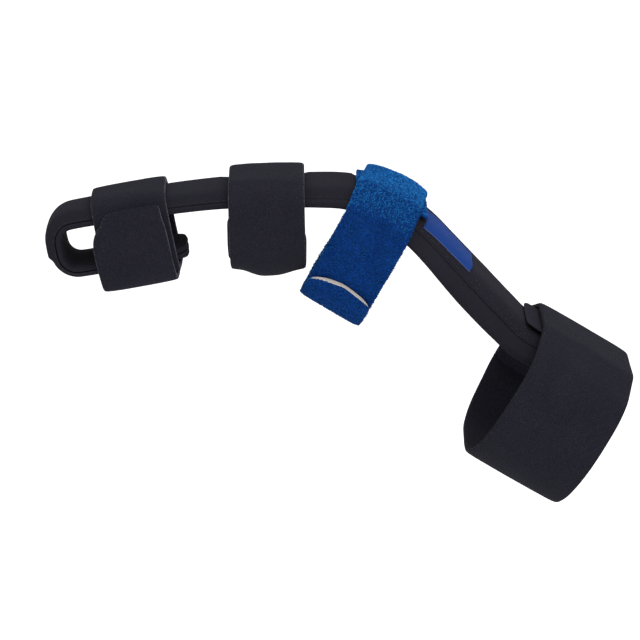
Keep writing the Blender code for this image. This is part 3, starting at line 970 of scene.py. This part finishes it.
class ORTHOSIS_OT_stitches(bpy.types.Operator):
    """Sew the sleeve's edges"""

    bl_idname = "orthosis.stitches"
    bl_label = "Stitches"

    def execute(self, context):
        step = context.scene.orthosis_pile.stitch_length
        count = int((splint_length() - 2 * SEAM_MARGIN) / step)
        for side, name in ((-1, "sleeve_stitches_near"), (1, "sleeve_stitches_far")):
            places = []
            for i in range(count):
                distance = SEAM_MARGIN + i * step
                point, tangent, normal = splint_frame(distance)
                wing = wing_share(distance)
                seam = side * (sleeve_half(distance) + SEAM_REACH + SEAM_REACH_WINGS * wing)
                height = SEAM_HEIGHT - SEAM_DROP_WINGS * wing
                lean = side * (SEAM_LEAN - SEAM_LEAN_WINGS * wing)
                out = (normal + lean * Vector((0, 1, 0))).normalized()
                places.append((point + Vector((0, seam, 0)) + height * normal, tangent, out))
            piece = sewn_row(name, places, step * STITCH_SHARE, STITCH_WIDTH)
            dress(piece, material("thread"))
        return {"FINISHED"}


class ORTHOSIS_OT_stage(bpy.types.Operator):
    """Set up the pale floor, the soft lights and the camera"""

    bl_idname = "orthosis.stage"
    bl_label = "Stage"

    def execute(self, context):
        scene = context.scene
        sizes = scene.orthosis_stage
        bpy.ops.object.select_all(action="DESELECT")
        bpy.ops.mesh.primitive_plane_add(size=14.0, location=(0, 0, LOWEST_POINT - sizes.floor_drop))
        floor = context.active_object
        floor.name = "floor"
        bpy.ops.object.transform_apply(location=True, rotation=True, scale=True)
        pale = Shader("pale_floor")
        pale.colour(pale.ramp(pale.noise(3.0), ((0.0, (0.93, 0.93, 0.93)), (1.0, (0.96, 0.96, 0.96)))))
        pale.surface(0.9)
        floor.data.materials.append(pale.material)

        for name, place, aim, size, power in LIGHTS:
            light = bpy.data.lights.new(name, "AREA")
            light.energy = power
            light.size = size
            lamp = bpy.data.objects.new(name, light)
            lamp.location = place
            lamp.rotation_euler = (Vector(place) - Vector(aim)).to_track_quat("Z", "Y").to_euler()
            scene.collection.objects.link(lamp)

        world = bpy.data.worlds.new("studio")
        world.use_nodes = True
        background = world.node_tree.nodes["Background"]
        background.inputs["Color"].default_value = (1.0, 1.0, 1.0, 1.0)
        background.inputs["Strength"].default_value = SKY_STRENGTH
        scene.world = world
        scene.view_settings.view_transform = "Standard"

        camera = bpy.data.cameras.new("camera")
        camera.lens = sizes.camera_lens
        camera.sensor_width = 36.0
        camera.clip_start = 0.05
        camera.clip_end = 30.0
        holder = bpy.data.objects.new("camera", camera)
        elevation = math.radians(CAMERA_ELEVATION)
        back = Vector((0.0, -math.cos(elevation), math.sin(elevation)))
        holder.location = CAMERA_TARGET + sizes.camera_distance * back
        holder.rotation_euler = (math.radians(90) - elevation, 0.0, 0.0)
        scene.collection.objects.link(holder)
        scene.camera = holder
        return {"FINISHED"}


class ORTHOSIS_PT_panel(bpy.types.Panel):
    """Sizes, colours and steps of the finger orthosis"""

    bl_label = "Finger Orthosis"
    bl_idname = "ORTHOSIS_PT_panel"
    bl_space_type = "VIEW_3D"
    bl_region_type = "UI"
    bl_category = "Orthosis"

    def draw(self, context):
        layout = self.layout
        scene = context.scene
        for group in (scene.orthosis_colours, scene.orthosis_pile, scene.orthosis_stage):
            box = layout.box()
            for name in group.__annotations__:
                box.prop(group, name)
        for operator in STEPS:
            layout.operator(operator.bl_idname)


STEPS = (
    ORTHOSIS_OT_padding,
    ORTHOSIS_OT_straps,
    ORTHOSIS_OT_label,
    ORTHOSIS_OT_stitches,
    ORTHOSIS_OT_pile,
    ORTHOSIS_OT_lint,
    ORTHOSIS_OT_stage,
)
CLASSES = (FabricColours, PileSizes, StageSizes, *STEPS, ORTHOSIS_PT_panel)


def register():
    for each in CLASSES:
        bpy.utils.register_class(each)
    bpy.types.Scene.orthosis_colours = PointerProperty(type=FabricColours)
    bpy.types.Scene.orthosis_pile = PointerProperty(type=PileSizes)
    bpy.types.Scene.orthosis_stage = PointerProperty(type=StageSizes)


def unregister():
    del bpy.types.Scene.orthosis_stage
    del bpy.types.Scene.orthosis_pile
    del bpy.types.Scene.orthosis_colours
    for each in reversed(CLASSES):
        bpy.utils.unregister_class(each)


def main():
    register()
    bpy.ops.orthosis.padding()
    bpy.ops.orthosis.straps()
    bpy.ops.orthosis.label()
    bpy.ops.orthosis.stitches()
    bpy.ops.orthosis.pile()
    bpy.ops.orthosis.lint()
    bpy.ops.orthosis.stage()


if __name__ == "__main__":
    main()
